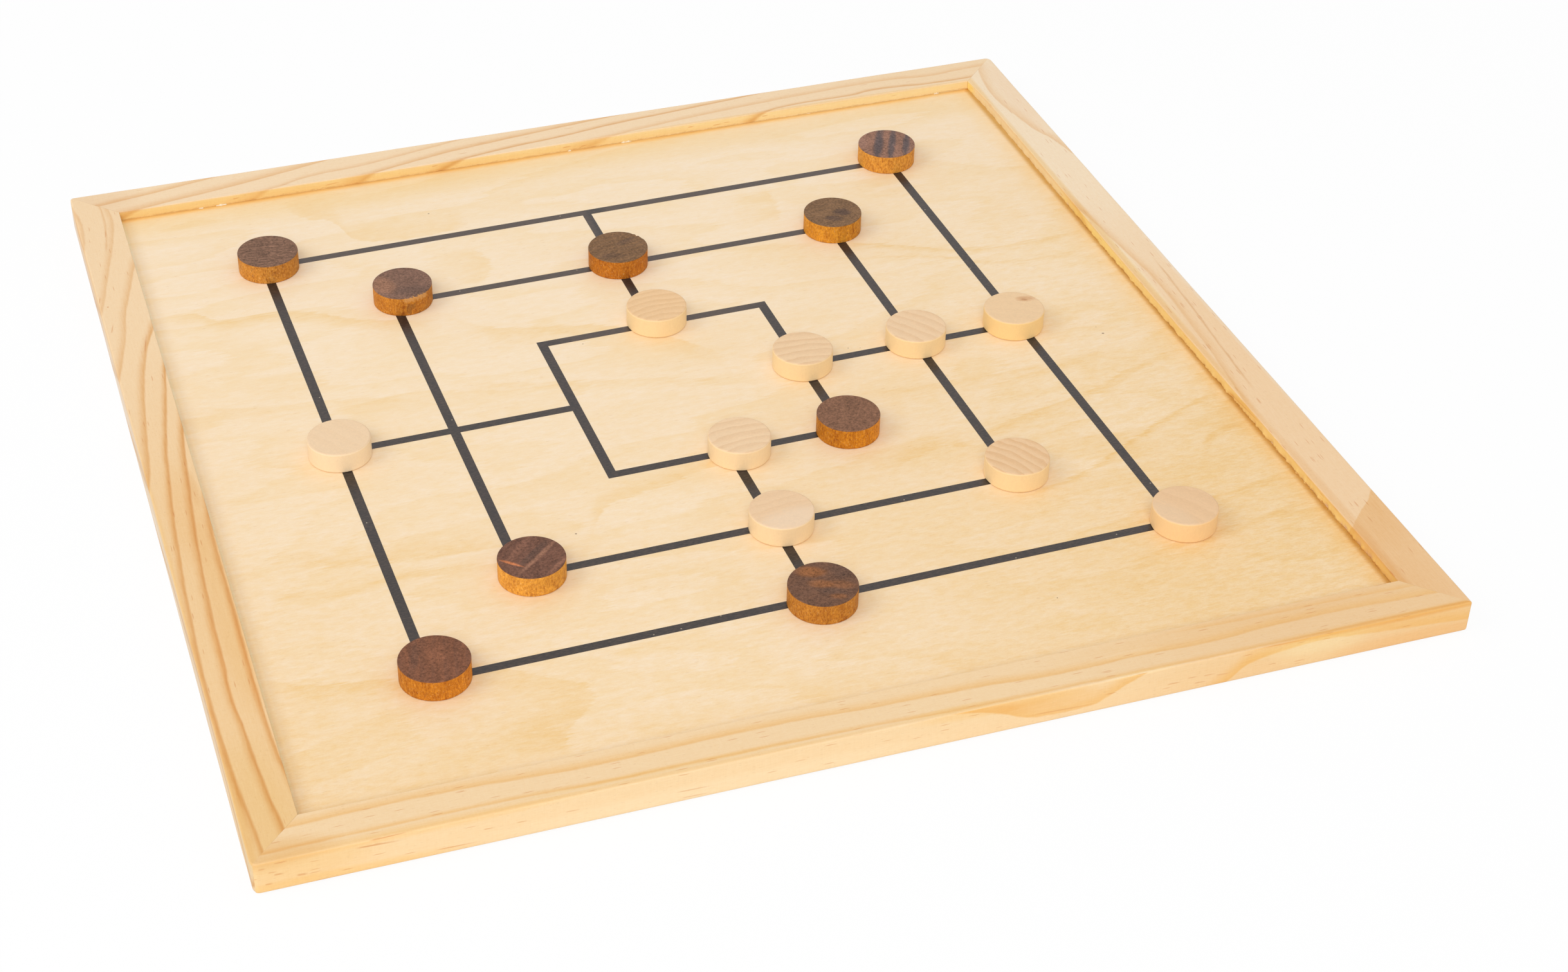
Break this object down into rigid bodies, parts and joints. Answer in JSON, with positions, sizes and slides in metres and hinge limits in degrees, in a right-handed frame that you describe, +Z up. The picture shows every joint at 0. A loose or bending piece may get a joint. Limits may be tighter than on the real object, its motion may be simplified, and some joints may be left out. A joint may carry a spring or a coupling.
{
  "type": "nine men's morris board",
  "caption": "Square wooden board game tray: mitred frame, recessed plywood panel with a printed mill of nested, linked squares, and round dark and pale men.",
  "frame": {"origin": "under the middle of the board, on the surface it lies on", "axes": "+Z up, out of the playing face; -Y towards the player at the front rail; +X to the right"},
  "size_m": [0.51, 0.51, 0.0209],
  "materials": {
    "pine": "sanded, bare",
    "birch_plywood": "sanded, bare",
    "charcoal_ink": "matt print",
    "dark_stained_wood": "stained, satin",
    "pale_wood": "sanded, bare"
  },
  "bodies": {
    "board": {"front_rail": "pine", "right_rail": "pine", "back_rail": "pine", "left_rail": "pine", "play_panel": "birch_plywood", "printed_mill": "charcoal_ink"},
    "dark_man_1": {"dark_man_1": "dark_stained_wood"},
    "dark_man_2": {"dark_man_2": "dark_stained_wood"},
    "dark_man_3": {"dark_man_3": "dark_stained_wood"},
    "dark_man_4": {"dark_man_4": "dark_stained_wood"},
    "dark_man_5": {"dark_man_5": "dark_stained_wood"},
    "dark_man_6": {"dark_man_6": "dark_stained_wood"},
    "dark_man_7": {"dark_man_7": "dark_stained_wood"},
    "dark_man_8": {"dark_man_8": "dark_stained_wood"},
    "dark_man_9": {"dark_man_9": "dark_stained_wood"},
    "light_man_1": {"light_man_1": "pale_wood"},
    "light_man_2": {"light_man_2": "pale_wood"},
    "light_man_3": {"light_man_3": "pale_wood"},
    "light_man_4": {"light_man_4": "pale_wood"},
    "light_man_5": {"light_man_5": "pale_wood"},
    "light_man_6": {"light_man_6": "pale_wood"},
    "light_man_7": {"light_man_7": "pale_wood"},
    "light_man_8": {"light_man_8": "pale_wood"},
    "light_man_9": {"light_man_9": "pale_wood"}
  },
  "joints": [
    {"name": "lift_dark_man_1", "type": "slide", "parent": "board", "child": "dark_man_1", "axis": [0, 0, 1], "range_m": [0, 0.05]},
    {"name": "lift_dark_man_2", "type": "slide", "parent": "board", "child": "dark_man_2", "axis": [0, 0, 1], "range_m": [0, 0.05]},
    {"name": "lift_dark_man_3", "type": "slide", "parent": "board", "child": "dark_man_3", "axis": [0, 0, 1], "range_m": [0, 0.05]},
    {"name": "lift_dark_man_4", "type": "slide", "parent": "board", "child": "dark_man_4", "axis": [0, 0, 1], "range_m": [0, 0.05]},
    {"name": "lift_dark_man_5", "type": "slide", "parent": "board", "child": "dark_man_5", "axis": [0, 0, 1], "range_m": [0, 0.05]},
    {"name": "lift_dark_man_6", "type": "slide", "parent": "board", "child": "dark_man_6", "axis": [0, 0, 1], "range_m": [0, 0.05]},
    {"name": "lift_dark_man_7", "type": "slide", "parent": "board", "child": "dark_man_7", "axis": [0, 0, 1], "range_m": [0, 0.05]},
    {"name": "lift_dark_man_8", "type": "slide", "parent": "board", "child": "dark_man_8", "axis": [0, 0, 1], "range_m": [0, 0.05]},
    {"name": "lift_dark_man_9", "type": "slide", "parent": "board", "child": "dark_man_9", "axis": [0, 0, 1], "range_m": [0, 0.05]},
    {"name": "lift_light_man_1", "type": "slide", "parent": "board", "child": "light_man_1", "axis": [0, 0, 1], "range_m": [0, 0.05]},
    {"name": "lift_light_man_2", "type": "slide", "parent": "board", "child": "light_man_2", "axis": [0, 0, 1], "range_m": [0, 0.05]},
    {"name": "lift_light_man_3", "type": "slide", "parent": "board", "child": "light_man_3", "axis": [0, 0, 1], "range_m": [0, 0.05]},
    {"name": "lift_light_man_4", "type": "slide", "parent": "board", "child": "light_man_4", "axis": [0, 0, 1], "range_m": [0, 0.05]},
    {"name": "lift_light_man_5", "type": "slide", "parent": "board", "child": "light_man_5", "axis": [0, 0, 1], "range_m": [0, 0.05]},
    {"name": "lift_light_man_6", "type": "slide", "parent": "board", "child": "light_man_6", "axis": [0, 0, 1], "range_m": [0, 0.05]},
    {"name": "lift_light_man_7", "type": "slide", "parent": "board", "child": "light_man_7", "axis": [0, 0, 1], "range_m": [0, 0.05]},
    {"name": "lift_light_man_8", "type": "slide", "parent": "board", "child": "light_man_8", "axis": [0, 0, 1], "range_m": [0, 0.05]},
    {"name": "lift_light_man_9", "type": "slide", "parent": "board", "child": "light_man_9", "axis": [0, 0, 1], "range_m": [0, 0.05]}
  ]
}
